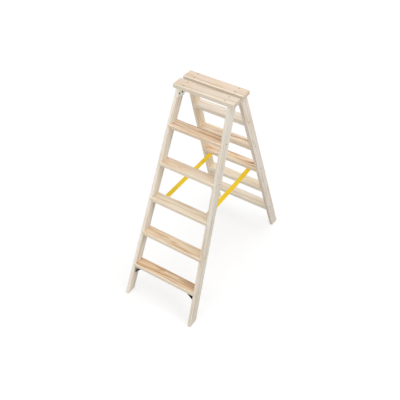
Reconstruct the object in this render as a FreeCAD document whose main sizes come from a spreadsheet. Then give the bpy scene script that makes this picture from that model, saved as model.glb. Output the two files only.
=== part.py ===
# Double sided wooden step ladder: two identical looking sections of splayed
# softwood stiles and housed treads, joined at the top by plate hinges and held
# open by two webbing straps.
#
# Frame: millimetres, +Z up, origin on the floor in the middle of the footprint.
# The front section leans towards -Y, the back section towards +Y, treads run
# along X.
import FreeCAD, Part
import Sketcher
import math
import os

V = FreeCAD.Vector
doc = FreeCAD.newDocument("step_ladder")

# ---------------------------------------------------------------- dimensions
PARAMS = [
    ("ladder_height", 1400.0),      # floor to the top of the boards
    ("lean_angle", 20.7),           # lean of each section from vertical, degrees
    ("section_gap", 7.0),           # half gap between inner faces at full height
    ("width_top", 365.0),           # over the stiles at full height
    ("width_floor", 526.0),         # over the stiles at the floor
    ("stile_thick", 22.0),
    ("stile_depth", 68.0),
    ("stile_round", 2.5),
    ("tread_thick", 25.0),
    ("tread_proud_outer", 2.0),     # tread past the stile's outer face
    ("tread_proud_inner", 3.0),     # tread past the stile's inner face
    ("tread_round", 2.5),
    ("housing_depth", 8.0),
    ("rise_count", 6.0),
    ("board_length", 408.0),
    ("board_depth", 80.0),
    ("board_thick", 25.0),
    ("board_gap", 25.0),
    ("board_round", 3.0),
    ("plate_thick", 3.0),
    ("plate_bottom_outer", 1330.0),   # the lower edge is square to the stile
    ("plate_bottom_inner", 1309.0),
    ("plate_face_front", 165.2),    # outer face of the front hinge plates
    ("plate_face_back", 169.2),     # outer face of the back hinge plates
    ("flange_reach", 129.0),        # inner end of the flange under the board
    ("pivot_height", 1352.0),
    ("pivot_radius", 4.0),
    ("tab_radius", 15.0),
    ("bolt_radius", 3.0),
    ("bolt_a_offset", 88.0),
    ("bolt_a_height", 1345.0),
    ("bolt_b_offset", 55.0),
    ("bolt_b_height", 1340.0),
    ("screw_radius", 2.0),
    ("screw_head_radius", 4.2),
    ("screw_length", 45.0),
    ("board_screw_x", 140.0),
    ("board_screw_outer", 78.0),
    ("board_screw_inner", 33.0),
    ("strap_x_left_front", 148.0),
    ("strap_x_left_back", 152.0),
    ("strap_x_right_front", 162.0),
    ("strap_x_right_back", 149.0),
    ("strap_width", 33.0),
    ("strap_thick", 1.6),
    ("strap_slit", 0.5),
    ("strap_tongue", 90.0),
    ("strap_end_length", 52.0),
    ("bracket_leg", 46.0),
    ("bracket_foot", 17.0),
    ("bracket_width", 20.0),
    ("bracket_thick", 3.0),
]

sheet = doc.addObject("Spreadsheet::Sheet", "sheet")
for row, (alias, number) in enumerate(PARAMS, start=1):
    sheet.set("A%d" % row, alias)
    sheet.set("B%d" % row, repr(number))
    sheet.setAlias("B%d" % row, alias)
doc.recompute()


class Q:
    """A length with its formula and its present value."""

    def __init__(self, text, value):
        self.text = text
        self.value = float(value)

    @staticmethod
    def of(other):
        if isinstance(other, Q):
            return other
        return Q("(%r)" % float(other), other)

    def _join(self, other, sign, value):
        return Q("(%s %s %s)" % (self.text, sign, Q.of(other).text), value)

    def __add__(self, other):
        return self._join(other, "+", self.value + Q.of(other).value)

    def __radd__(self, other):
        return Q.of(other) + self

    def __sub__(self, other):
        return self._join(other, "-", self.value - Q.of(other).value)

    def __rsub__(self, other):
        return Q.of(other) - self

    def __mul__(self, other):
        return self._join(other, "*", self.value * Q.of(other).value)

    def __rmul__(self, other):
        return Q.of(other) * self

    def __truediv__(self, other):
        return self._join(other, "/", self.value / Q.of(other).value)

    def __neg__(self):
        return Q.of(-1.0) * self


P = {alias: Q("sheet.%s" % alias, number) for alias, number in PARAMS}
LEAN = math.radians(P["lean_angle"].value)
TAN = Q("tan(sheet.lean_angle * 1 deg)", math.tan(LEAN))
COS = Q("cos(sheet.lean_angle * 1 deg)", math.cos(LEAN))
HEIGHT = P["ladder_height"]
STILE_TOP = HEIGHT - P["board_thick"]


def y_inner(z):
    """Distance from the middle plane to a stile's inner face at height z."""
    return P["section_gap"] + (HEIGHT - z) * TAN


def y_outer(z):
    return y_inner(z) + P["stile_depth"] / COS


def half_width(z):
    """Half the width over the stiles at height z."""
    return (P["width_top"] + (P["width_floor"] - P["width_top"]) * (HEIGHT - z) / HEIGHT) / 2.0


def tread_top(i):
    return HEIGHT * float(i) / P["rise_count"]


# ------------------------------------------------------------------- helpers
FINAL = []          # every sub-part that is exported


def strap_x(side, sec):
    """Middle of a strap where it leaves the tread; the straps run a little askew."""
    return P["strap_x_%s_%s" % (side, sec)] * (-1.0 if side == "left" else 1.0)


def finish(obj, label):
    obj.Label = label
    FINAL.append(obj)
    return obj


def bind(obj, path, q):
    obj.setExpression(path, Q.of(q).text)


def plane_of(body, role):
    for feature in body.Origin.OriginFeatures:
        if feature.Role == role:
            return feature
    raise RuntimeError("no plane " + role)


def sketch_on(body, name, role, offset=0.0):
    sk = body.newObject("Sketcher::SketchObject", name)
    sk.AttachmentSupport = [(plane_of(body, role), "")]
    sk.MapMode = "FlatFace"
    off = Q.of(offset)
    sk.AttachmentOffset = FreeCAD.Placement(V(0, 0, off.value), FreeCAD.Rotation())
    bind(sk, "AttachmentOffset.Base.z", off)
    return sk


def hold_point(sk, geo, pos, x, y, tag):
    """Tie one sketch point to the origin by two driven distances."""
    for kind, q, axis in (("DistanceX", Q.of(x), "x"), ("DistanceY", Q.of(y), "y")):
        index = sk.addConstraint(Sketcher.Constraint(kind, -1, 1, geo, pos, q.value))
        sk.renameConstraint(index, tag + axis)
        bind(sk, "Constraints." + tag + axis, q)


def loop(sk, points, tag):
    """Closed polygon through the given (x, y) formulas."""
    vals = [V(Q.of(x).value, Q.of(y).value, 0) for x, y in points]
    first = sk.GeometryCount
    n = len(vals)
    for i in range(n):
        sk.addGeometry(Part.LineSegment(vals[i], vals[(i + 1) % n]), False)
    for i in range(n):
        sk.addConstraint(Sketcher.Constraint("Coincident", first + i, 2, first + (i + 1) % n, 1))
    for i, (x, y) in enumerate(points):
        hold_point(sk, first + i, 1, x, y, "%s%d" % (tag, i))


def body_named(name):
    return doc.addObject("PartDesign::Body", name)


def pad(body, name, sk, length, reverse=False, both=False):
    feature = body.newObject("PartDesign::Pad", name)
    feature.Profile = sk
    feature.Length = Q.of(length).value
    bind(feature, "Length", length)
    feature.Reversed = reverse
    if both:
        if hasattr(feature, "SideType"):
            feature.SideType = "Symmetric"
        else:
            feature.Midplane = True
    sk.recompute()
    feature.recompute()
    return feature


ROT = {
    "+x": FreeCAD.Rotation(V(0, 1, 0), 90),
    "-x": FreeCAD.Rotation(V(0, 1, 0), -90),
    "+y": FreeCAD.Rotation(V(1, 0, 0), -90),
    "-y": FreeCAD.Rotation(V(1, 0, 0), 90),
    "+z": FreeCAD.Rotation(),
    "-z": FreeCAD.Rotation(V(1, 0, 0), 180),
}


def place(obj, x, y, z, direction="+z"):
    obj.Placement = FreeCAD.Placement(V(Q.of(x).value, Q.of(y).value, Q.of(z).value), ROT[direction])
    bind(obj, "Placement.Base.x", x)
    bind(obj, "Placement.Base.y", y)
    bind(obj, "Placement.Base.z", z)
    return obj


def cylinder(name, radius, height, x, y, z, direction):
    obj = doc.addObject("Part::Cylinder", name)
    bind(obj, "Radius", radius)
    bind(obj, "Height", height)
    return place(obj, x, y, z, direction)


def cone(name, r1, r2, height, x, y, z, direction):
    obj = doc.addObject("Part::Cone", name)
    bind(obj, "Radius1", r1)
    bind(obj, "Radius2", r2)
    bind(obj, "Height", height)
    return place(obj, x, y, z, direction)


def box(name, lx, ly, lz, x, y, z):
    obj = doc.addObject("Part::Box", name)
    bind(obj, "Length", lx)
    bind(obj, "Width", ly)
    bind(obj, "Height", lz)
    return place(obj, x, y, z)


def cut(name, base, tools):
    tool = tools[0]
    if len(tools) > 1:
        tool = doc.addObject("Part::MultiFuse", name + "_tools")
        tool.Shapes = tools
    obj = doc.addObject("Part::Cut", name)
    obj.Base = base
    obj.Tool = tool
    return obj


def fuse(name, shapes):
    obj = doc.addObject("Part::MultiFuse", name)
    obj.Shapes = shapes
    obj.Refine = True
    return obj


def group(name, shapes, label):
    obj = doc.addObject("Part::Compound", name)
    obj.Links = shapes
    return finish(obj, label)


# -------------------------------------------------------------------- stiles
def make_stile(sec, sy, side, sx):
    """One stile: a rectangular bar that leans in Y and splays in X."""
    name = "%s_stile_%s" % (sec, side)
    body = body_named(name + "_body")
    sk = sketch_on(body, name + "_foot", "XY_Plane")
    floor = Q.of(0.0)
    xo, xi = sx * half_width(floor), sx * (half_width(floor) - P["stile_thick"])
    yi, yo = sy * y_inner(floor), sy * y_outer(floor)
    loop(sk, [(xi, yi), (xo, yi), (xo, yo), (xi, yo)], "p")
    # the foot print is carried up along the stile's own slanted direction
    bar = body.newObject("PartDesign::Pad", name + "_bar")
    bar.Profile = sk
    bar.UseCustomVector = True
    run = (sx * (half_width(STILE_TOP) - half_width(floor)), sy * (y_inner(STILE_TOP) - y_inner(floor)), STILE_TOP)
    bar.Direction = V(run[0].value, run[1].value, run[2].value)
    bind(bar, "Direction.x", run[0])
    bind(bar, "Direction.y", run[1])
    bind(bar, "Direction.z", run[2])
    bar.AlongSketchNormal = True
    bar.Length = STILE_TOP.value
    bind(bar, "Length", STILE_TOP)
    sk.recompute()
    bar.recompute()
    long_edges = []
    for i, edge in enumerate(bar.Shape.Edges, start=1):
        zs = [v.Point.z for v in edge.Vertexes]
        if max(zs) - min(zs) > 1000.0:
            long_edges.append("Edge%d" % i)
    rounds = body.newObject("PartDesign::Fillet", name + "_arris")
    rounds.Base = (bar, long_edges)
    rounds.Radius = P["stile_round"].value
    bind(rounds, "Radius", P["stile_round"])
    tools = []
    # housings for the treads, parallel to the stile's face
    hb = body_named(name + "_housing_body")
    hs = sketch_on(hb, name + "_housing_profile", "XZ_Plane")
    for i in range(1, 6):
        zt = tread_top(i)
        zb = zt - P["tread_thick"]
        deep = lambda z: sx * (half_width(z) - P["stile_thick"] + P["housing_depth"])
        open_side = lambda z: sx * (half_width(z) - P["stile_thick"] - 5.0)
        loop(hs, [(open_side(zb), zb), (deep(zb), zb), (deep(zt), zt), (open_side(zt), zt)], "t%d_" % i)
    pad(hb, name + "_housing", hs, 1400.0, both=True)
    tools.append(hb)
    # seat for the hinge plate
    face = P["plate_face_" + sec]
    zt_seat = STILE_TOP + 45.0
    zo, zi = P["plate_bottom_outer"], P["plate_bottom_inner"]
    slope = (zo - zi) / (y_outer(zo) - y_inner(zi))
    seat = body_named(name + "_seat_body")
    ss = sketch_on(seat, name + "_seat_profile", "YZ_Plane", sx * face)
    loop(ss, [(sy * (y_inner(zi) - 40.0), zi - 40.0 * slope), (sy * (y_outer(zo) + 40.0), zo + 40.0 * slope),
              (sy * (y_outer(zo) + 40.0), zt_seat), (sy * (y_inner(zi) - 40.0), zt_seat)], "p")
    pad(seat, name + "_seat", ss, 20.0, reverse=(sx > 0))
    tools.append(seat)
    # screw holes into the tread ends, with a countersink in the outer face
    for i in range(1, 6):
        zc = tread_top(i) - P["tread_thick"] / 2.0
        yc = sy * (y_inner(zc) + y_outer(zc)) / 2.0
        tools.append(cylinder("%s_screw_hole_%d" % (name, i), P["screw_radius"] + 0.15, 60.0,
                              sx * (half_width(zc) + 5.0), yc, zc, "-x" if sx > 0 else "+x"))
        tools.append(cone("%s_screw_sink_%d" % (name, i), P["screw_head_radius"] + 1.4,
                          P["screw_radius"] + 0.15, 3.6, sx * (half_width(zc) + 0.9), yc, zc,
                          "-x" if sx > 0 else "+x"))
    for tag in ("a", "b"):
        tools.append(cylinder("%s_bolt_hole_%s" % (name, tag), P["bolt_radius"] + 0.15, 80.0,
                              sx * 140.0, sy * P["bolt_%s_offset" % tag], P["bolt_%s_height" % tag],
                              "+x" if sx > 0 else "-x"))
    if sec == "front":
        zb = tread_top(1) - P["tread_thick"]
        for k, (inset, aside) in enumerate(BRACKET_SCREWS):
            z = zb - inset
            tools.append(cylinder("%s_bracket_pilot_%d" % (name, k), 1.6, 18.0,
                                  sx * (half_width(z) - P["stile_thick"] - 3.0), bracket_y(zb) + aside, z,
                                  "+x" if sx > 0 else "-x"))
    return finish(cut(name, body, tools), name)


# -------------------------------------------------------------------- treads
def make_tread(sec, sy, i):
    """A tread whose ends follow the housings; its edges stand a little proud."""
    name = "%s_tread_%d" % (sec, i)
    zt = tread_top(i)
    zb = zt - P["tread_thick"]
    zm = zt - P["tread_thick"] / 2.0
    reach = lambda z: half_width(z) - P["stile_thick"] + P["housing_depth"]
    start = sy * (y_inner(zm) - P["tread_proud_inner"])
    depth = P["stile_depth"] / COS + P["tread_proud_inner"] + P["tread_proud_outer"]
    body = body_named(name + "_body")
    # the XZ plane's normal is -Y
    sk = sketch_on(body, name + "_profile", "XZ_Plane", -start)
    loop(sk, [(-reach(zb), zb), (reach(zb), zb), (reach(zt), zt), (-reach(zt), zt)], "p")
    p = pad(body, name + "_plank", sk, depth, reverse=(sy > 0))
    edges = []
    ylim = abs(start.value) + depth.value
    for k, edge in enumerate(p.Shape.Edges, start=1):
        vs = [v.Point for v in edge.Vertexes]
        if abs(vs[0].x - vs[1].x) > 200.0:
            edges.append("Edge%d" % k)
    rounds = body.newObject("PartDesign::Fillet", name + "_arris")
    rounds.Base = (p, edges)
    rounds.Radius = P["tread_round"].value
    bind(rounds, "Radius", P["tread_round"])
    yc = sy * (y_inner(zm) + y_outer(zm)) / 2.0
    tools = []
    for side, sx in (("left", -1), ("right", 1)):
        tools.append(cylinder("%s_pilot_%s" % (name, side), P["screw_radius"] + 0.1,
                              P["screw_length"] + 4.0, sx * (half_width(zm) + 2.0), yc, zm,
                              "-x" if sx > 0 else "+x"))
    if i == 3:
        for side, sx in (("left", -1), ("right", 1)):
            for k, inset in enumerate((20.0, 40.0)):
                tools.append(cylinder("%s_strap_pilot_%s_%d" % (name, side, k), 1.6, 16.0,
                                      strap_x(side, sec), start + sy * inset, zb - 1.0, "+z"))
    if i == 1 and sec == "front":
        for side, sx in (("left", -1), ("right", 1)):
            for k, (inset, aside) in enumerate(BRACKET_SCREWS):
                tools.append(cylinder("%s_bracket_pilot_%s_%d" % (name, side, k), 1.6, 16.0,
                                      sx * (half_width(zb) - P["stile_thick"] - inset),
                                      bracket_y(zb) + aside, zb - 1.0, "+z"))
    return finish(cut(name, body, tools), name)


# screw in each foot of a corner brace: distance from the corner, and the
# distance to one side of the strip's middle
BRACKET_SCREWS = ((54.5, 0.0),)


def bracket_y(zb):
    """Middle of a corner brace: near the outer edge of the lowest tread."""
    zm = zb + P["tread_thick"] / 2.0
    return -(y_outer(zm) + P["tread_proud_outer"] - 13.0)


# -------------------------------------------------------------------- boards
def make_board(sec, sy):
    name = "%s_top_board" % sec
    near = P["board_gap"] / 2.0
    y0 = near if sy > 0 else -(near + P["board_depth"])
    body = body_named(name + "_body")
    sk = sketch_on(body, name + "_profile", "XY_Plane", STILE_TOP)
    half = P["board_length"] / 2.0
    loop(sk, [(-half, y0), (half, y0), (half, y0 + P["board_depth"]), (-half, y0 + P["board_depth"])], "p")
    p = pad(body, name + "_plank", sk, P["board_thick"])
    edges = []
    for k, edge in enumerate(p.Shape.Edges, start=1):
        zs = [v.Point.z for v in edge.Vertexes]
        if min(zs) > HEIGHT.value - 0.01 or abs(zs[0] - zs[1]) > 1.0:
            edges.append("Edge%d" % k)
    rounds = body.newObject("PartDesign::Fillet", name + "_arris")
    rounds.Base = (p, edges)
    rounds.Radius = P["board_round"].value
    bind(rounds, "Radius", P["board_round"])
    tools = []
    for side, sx in (("left", -1), ("right", 1)):
        for tag in ("outer", "inner"):
            x, y = sx * P["board_screw_x"], sy * P["board_screw_" + tag]
            tools.append(cylinder("%s_hole_%s_%s" % (name, side, tag), P["screw_radius"] + 0.15, 60.0,
                                  x, y, HEIGHT - 55.0, "+z"))
            tools.append(cone("%s_sink_%s_%s" % (name, side, tag), P["screw_head_radius"] + 1.4,
                              P["screw_radius"] + 0.15, 3.6, x, y, HEIGHT + 0.9, "-z"))
    return finish(cut(name, body, tools), name)


# -------------------------------------------------------------- hinge plates
def make_plate(sec, sy, side, sx):
    """Plate let into the stile's inner face, a tab to the pivot and a flange
    bent inwards under the board."""
    name = "%s_hinge_plate_%s" % (sec, side)
    face = P["plate_face_" + sec]
    zo, zi, zt = P["plate_bottom_outer"], P["plate_bottom_inner"], STILE_TOP
    zp, rt = P["pivot_height"], P["tab_radius"]
    body = body_named(name + "_body")
    # the plate is drawn at its inner surface and padded outwards
    inner = face - P["plate_thick"]
    sk = sketch_on(body, name + "_profile", "YZ_Plane", sx * inner)
    loop(sk, [(sy * (y_outer(zo) - 1.5), zo), (sy * (y_outer(zt) - 1.5), zt), (sy * (y_inner(zt) + 2.0), zt),
              (Q.of(0.0), zp + rt), (Q.of(0.0), zp - rt), (sy * y_inner(zi), zi)], "v")
    pad(body, name + "_web", sk, P["plate_thick"], reverse=(sx < 0))
    st = sketch_on(body, name + "_tab_profile", "YZ_Plane", sx * inner)
    st.addGeometry(Part.Circle(V(0, zp.value, 0), V(0, 0, 1), rt.value), False)
    st.addConstraint(Sketcher.Constraint("PointOnObject", 0, 3, -2))
    height = st.addConstraint(Sketcher.Constraint("DistanceY", -1, 1, 0, 3, zp.value))
    st.renameConstraint(height, "pivot")
    bind(st, "Constraints.pivot", zp)
    round_end = st.addConstraint(Sketcher.Constraint("Radius", 0, rt.value))
    st.renameConstraint(round_end, "tab")
    bind(st, "Constraints.tab", rt)
    pad(body, name + "_tab", st, P["plate_thick"], reverse=(sx < 0))
    sf = sketch_on(body, name + "_flange_profile", "YZ_Plane", sx * P["flange_reach"])
    zf = zt - P["plate_thick"]
    ya, yb = sy * (y_inner(zt) + 3.0), sy * (y_outer(zt) - 3.0)
    loop(sf, [(ya, zf), (yb, zf), (yb, zt), (ya, zt)], "f")
    pad(body, name + "_flange", sf, face - P["flange_reach"], reverse=(sx < 0))
    tools = [cylinder(name + "_pivot_hole", P["pivot_radius"] + 0.1, 40.0, sx * 150.0, 0.0, zp,
                      "+x" if sx > 0 else "-x")]
    for tag in ("a", "b"):
        tools.append(cylinder("%s_bolt_hole_%s" % (name, tag), P["bolt_radius"] + 0.15, 60.0, sx * 140.0,
                              sy * P["bolt_%s_offset" % tag], P["bolt_%s_height" % tag],
                              "+x" if sx > 0 else "-x"))
    for tag in ("outer", "inner"):
        tools.append(cylinder("%s_screw_hole_%s" % (name, tag), P["screw_radius"] + 0.1, 20.0,
                              sx * P["board_screw_x"], sy * P["board_screw_" + tag], zt - 10.0, "+z"))
    return finish(cut(name, body, tools), name)


# ----------------------------------------------------------------- fasteners
def countersunk_screw(name, x, y, z, direction, length, radius=None, head=None):
    """Head cone at (x, y, z), shank along the direction."""
    radius = radius or P["screw_radius"]
    head = head or P["screw_head_radius"]
    h = cone(name + "_head", head, radius, 2.4, x, y, z, direction)
    s = cylinder(name + "_shank", radius, length, x, y, z, direction)
    return fuse(name, [h, s])


def make_fasteners(sec, sy):
    screws = []
    for i in range(1, 6):
        zc = tread_top(i) - P["tread_thick"] / 2.0
        yc = sy * (y_inner(zc) + y_outer(zc)) / 2.0
        for side, sx in (("left", -1), ("right", 1)):
            screws.append(countersunk_screw("%s_tread_screw_%s_%d" % (sec, side, i),
                                            sx * (half_width(zc) - 0.4), yc, zc,
                                            "-x" if sx > 0 else "+x", P["screw_length"]))
    group(sec + "_tread_screws", screws, sec + "_tread_screws")
    screws = []
    for side, sx in (("left", -1), ("right", 1)):
        for tag in ("outer", "inner"):
            screws.append(countersunk_screw("%s_board_screw_%s_%s" % (sec, side, tag),
                                            sx * P["board_screw_x"], sy * P["board_screw_" + tag],
                                            HEIGHT - 0.3, "-z", P["board_thick"] + 8.0))
    group(sec + "_board_screws", screws, sec + "_board_screws")
    bolts, nuts, washers = [], [], []
    inner = P["plate_face_" + sec] - P["plate_thick"]
    for side, sx in (("left", -1), ("right", 1)):
        out, back = ("+x", "-x") if sx > 0 else ("-x", "+x")
        for tag in ("a", "b"):
            y, z = sy * P["bolt_%s_offset" % tag], P["bolt_%s_height" % tag]
            face = half_width(z) + 0.45
            b = "%s_bolt_%s_%s" % (sec, side, tag)
            shank = cylinder(b + "_shank", P["bolt_radius"], face - inner + 6.0, sx * face, y, z, back)
            flange = cylinder(b + "_rim", 6.5, 0.8, sx * face, y, z, out)
            dome = cone(b + "_dome", 6.5, 3.6, 1.9, sx * (face + 0.8), y, z, out)
            bolts.append(fuse(b, [shank, flange, dome]))
            disc = cylinder(b + "_washer_disc", 6.2, 1.2, sx * inner, y, z, back)
            bore = cylinder(b + "_washer_bore", 3.15, 4.0, sx * (inner + 1.0), y, z, back)
            washers.append(cut(b + "_washer", disc, [bore]))
            hexa = doc.addObject("Part::Prism", b + "_nut_hex")
            hexa.Polygon = 6
            bind(hexa, "Circumradius", 5.77)
            bind(hexa, "Height", 3.6)
            place(hexa, sx * (inner - 1.25), y, z, back)
            nbore = cylinder(b + "_nut_bore", P["bolt_radius"] + 0.05, 8.0, sx * (inner + 0.5), y, z, back)
            nuts.append(cut(b + "_nut", hexa, [nbore]))
    group(sec + "_hinge_bolts", bolts, sec + "_hinge_bolts")
    group(sec + "_hinge_washers", washers, sec + "_hinge_washers")
    group(sec + "_hinge_nuts", nuts, sec + "_hinge_nuts")


# -------------------------------------------------------------------- pivots
def make_pivots():
    inner = P["plate_face_front"] - P["plate_thick"]
    outer = P["plate_face_back"]
    zp = P["pivot_height"]
    shims = []
    for side, sx in (("left", -1), ("right", 1)):
        out, back = ("+x", "-x") if sx > 0 else ("-x", "+x")
        name = "hinge_pin_" + side
        shank = cylinder(name + "_shank", P["pivot_radius"], outer - inner + 2.0, sx * (inner - 1.0), 0.0, zp, out)
        head_in = cone(name + "_head_in", 7.0, 4.5, 2.4, sx * (inner - 0.1), 0.0, zp, back)
        head_out = cone(name + "_head_out", 7.0, 4.5, 2.4, sx * (outer + 0.1), 0.0, zp, out)
        finish(fuse(name, [shank, head_in, head_out]), name)
        disc = cylinder("pivot_shim_%s_disc" % side, 11.0, 0.8, sx * (P["plate_face_front"] + 0.1), 0.0, zp, out)
        bore = cylinder("pivot_shim_%s_bore" % side, P["pivot_radius"] + 0.1, 6.0,
                        sx * (P["plate_face_front"] - 2.0), 0.0, zp, out)
        shims.append(cut("pivot_shim_" + side, disc, [bore]))
    group("hinge_pivot_washers", shims, "hinge_pivot_washers")


# ------------------------------------------------------------------ brackets
def make_brackets():
    """Corner braces under the lowest front tread."""
    zb = tread_top(1) - P["tread_thick"]
    yc = bracket_y(zb)
    leg, w, t = P["bracket_leg"], P["bracket_width"], P["bracket_thick"]
    screws = []
    for side, sx in (("left", -1), ("right", 1)):
        name = "front_bracket_" + side
        body = body_named(name + "_body")
        face = lambda z: sx * (half_width(z) - P["stile_thick"])
        sk = sketch_on(body, name + "_strip_profile", "XZ_Plane", -yc)
        foot = P["bracket_foot"]
        inward = sx * -1.0
        za, zf = zb - leg, zb - leg - foot      # lower end of the slope, end of the foot
        loop(sk, [(face(zb) + inward * (leg + foot), zb), (face(zb) + inward * leg, zb),
                  (face(za), za), (face(zf), zf),
                  (face(zf) + inward * t, zf), (face(za) + inward * t, za - t * 0.41),
                  (face(zb) + inward * (leg + t * 0.41), zb - t), (face(zb) + inward * (leg + foot), zb - t)], "p")
        pad(body, name + "_strip", sk, w, both=True)
        tools = []
        out, back = ("+x", "-x") if sx > 0 else ("-x", "+x")
        for k, (inset, aside) in enumerate(BRACKET_SCREWS):
            x = sx * (half_width(zb) - P["stile_thick"] - inset)
            y = yc + aside
            # up into the tread
            tools.append(cylinder("%s_hole_t%d" % (name, k), 1.75, 8.0, x, y, zb - 6.0, "+z"))
            head = cylinder("%s_screw_t%d_head" % (name, k), 3.2, 1.6, x, y, zb - t - 0.05, "-z")
            shank = cylinder("%s_screw_t%d_shank" % (name, k), 1.5, 16.0, x, y, zb - t - 0.5, "+z")
            screws.append(fuse("%s_screw_t%d" % (name, k), [head, shank]))
            # sideways into the stile
            z = zb - inset
            xf = half_width(z) - P["stile_thick"]
            tools.append(cylinder("%s_hole_s%d" % (name, k), 1.75, 8.0, sx * (xf - 6.0), y, z, out))
            head = cylinder("%s_screw_s%d_head" % (name, k), 3.2, 1.6, sx * (xf - t - 0.3), y, z, back)
            shank = cylinder("%s_screw_s%d_shank" % (name, k), 1.5, 16.0, sx * (xf - t - 0.8), y, z, out)
            screws.append(fuse("%s_screw_s%d" % (name, k), [head, shank]))
        finish(cut(name, body, tools), name)
    group("front_bracket_screws", screws, "front_bracket_screws")


# -------------------------------------------------------------------- straps
def make_straps():
    zt = tread_top(3)
    zb = zt - P["tread_thick"]
    zm = zt - P["tread_thick"] / 2.0
    edge = y_inner(zm) - P["tread_proud_inner"]     # tread's inner bottom edge
    th, w = P["strap_thick"], P["strap_width"]
    for sec, sy in (("front", -1), ("back", 1)):
        ends, plates, screws = [], [], []
        for side, sx in (("left", -1), ("right", 1)):
            cx = strap_x(side, sec)
            # webbing end held flat under the tread
            ylow = sy * edge if sy > 0 else -(edge + P["strap_end_length"])
            e = box("%s_strap_end_%s_web" % (sec, side), w, P["strap_end_length"], th, cx - w / 2.0, ylow, zb - th)
            ptools = []
            plow = sy * (edge + 12.0) if sy > 0 else -(edge + 12.0 + 36.0)
            pl = box("%s_strap_plate_%s_bar" % (sec, side), w + 4.0, 36.0, 1.5, cx - w / 2.0 - 2.0, plow, zb - th - 1.5)
            for k, inset in enumerate((20.0, 40.0)):
                ys = sy * (edge + inset)
                ptools.append(cylinder("%s_strap_plate_%s_hole_%d" % (sec, side, k), 1.75, 10.0, cx, ys, zb - 8.0, "+z"))
                head = cylinder("%s_strap_screw_%s_%d_head" % (sec, side, k), 3.4, 1.5, cx, ys, zb - th - 1.55, "-z")
                shank = cylinder("%s_strap_screw_%s_%d_shank" % (sec, side, k), 1.5, 16.0, cx, ys, zb - th - 2.0, "+z")
                screws.append(fuse("%s_strap_screw_%s_%d" % (sec, side, k), [head, shank]))
            etools = [cylinder("%s_strap_end_%s_hole_%d" % (sec, side, k), 1.75, 10.0, cx, sy * (edge + inset), zb - 8.0, "+z")
                      for k, inset in enumerate((20.0, 40.0))]
            ends.append(cut("%s_strap_end_%s" % (sec, side), e, etools))
            plates.append(cut("%s_strap_plate_%s" % (sec, side), pl, ptools))
            # free half: full width up to the slit, then one of two tongues that
            # lie side by side over the middle of the span
            name = "strap_%s_%s" % (side, sec)
            body = body_named(name + "_body")
            sk = sketch_on(body, name + "_outline", "XY_Plane", zb - th)
            ya = sy * (edge - 1.4)
            yf = sy * (P["strap_tongue"] + 1.0)
            ye = -sy * P["strap_tongue"]
            # the front tongue takes the left half width, the back the right
            xl, xr = cx - w / 2.0, cx + w / 2.0
            xm = (strap_x(side, "front") + strap_x(side, "back")) / 2.0
            s2 = P["strap_slit"] / 2.0
            if sy < 0:
                pts = [(xl, ya), (xr, ya), (xm + w / 2.0, yf), (xm - s2, yf), (xm - s2, ye), (xm - w / 2.0, ye), (xm - w / 2.0, yf)]
            else:
                pts = [(xr, ya), (xl, ya), (xm - w / 2.0, yf), (xm + s2, yf), (xm + s2, ye), (xm + w / 2.0, ye), (xm + w / 2.0, yf)]
            loop(sk, pts, "p")
            pad(body, name + "_web", sk, th)
            # the fold at the tread's edge is a round bead on the turning line
            bead = cylinder(name + "_fold", th / 2.0, w, cx - w / 2.0, ya, zb - th / 2.0, "+x")
            finish(fuse(name, [body, bead]), name)
        group(sec + "_strap_ends", ends, sec + "_strap_ends")
        group(sec + "_strap_plates", plates, sec + "_strap_plates")
        group(sec + "_strap_screws", screws, sec + "_strap_screws")


for section, sign_y in (("front", -1), ("back", 1)):
    for side_name, sign_x in (("left", -1), ("right", 1)):
        make_stile(section, sign_y, side_name, sign_x)
        make_plate(section, sign_y, side_name, sign_x)
    for number in range(1, 6):
        make_tread(section, sign_y, number)
    make_board(section, sign_y)
    make_fasteners(section, sign_y)
make_pivots()
make_brackets()
make_straps()

doc.recompute()

bad = [o.Name for o in doc.Objects if "Invalid" in o.State or "Error" in o.State]
if bad:
    raise SystemExit("failed objects: %s" % bad)
for o in FINAL:
    if o.Shape.isNull() or not o.Shape.isValid() or not o.Shape.Solids:
        raise SystemExit("bad shape: %s" % o.Label)

os.makedirs("parts", exist_ok=True)
for o in FINAL:
    o.Shape.exportStep("parts/%s.step" % o.Label)
    bb = o.Shape.BoundBox
    print("%-26s solids %2d  vol %10.1f  x %8.1f..%8.1f  y %8.1f..%8.1f  z %8.1f..%8.1f" % (
        o.Label, len(o.Shape.Solids), o.Shape.Volume, bb.XMin, bb.XMax, bb.YMin, bb.YMax, bb.ZMin, bb.ZMax))
print("nodes", len(FINAL))
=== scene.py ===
import math
import random

import bmesh
import bpy
from mathutils import Matrix, Vector


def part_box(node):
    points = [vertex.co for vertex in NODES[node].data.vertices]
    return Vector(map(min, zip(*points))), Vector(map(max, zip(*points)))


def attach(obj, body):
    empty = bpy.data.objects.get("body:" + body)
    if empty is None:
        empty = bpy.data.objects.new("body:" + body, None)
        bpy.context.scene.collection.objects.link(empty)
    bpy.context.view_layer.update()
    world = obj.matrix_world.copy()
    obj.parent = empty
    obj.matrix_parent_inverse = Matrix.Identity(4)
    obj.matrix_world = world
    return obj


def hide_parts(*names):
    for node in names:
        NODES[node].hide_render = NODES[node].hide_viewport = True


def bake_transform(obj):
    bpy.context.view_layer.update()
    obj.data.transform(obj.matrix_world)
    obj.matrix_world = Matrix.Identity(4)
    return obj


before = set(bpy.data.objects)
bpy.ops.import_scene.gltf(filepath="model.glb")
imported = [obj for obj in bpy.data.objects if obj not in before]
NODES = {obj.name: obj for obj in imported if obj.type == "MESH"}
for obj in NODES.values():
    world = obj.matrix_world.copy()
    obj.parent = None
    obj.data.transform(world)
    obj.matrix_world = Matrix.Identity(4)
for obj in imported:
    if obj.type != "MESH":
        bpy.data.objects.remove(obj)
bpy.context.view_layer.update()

# ------------------------------------------------------------ the ladder's sizes
MM = 0.001
H = 1400.0
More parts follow.
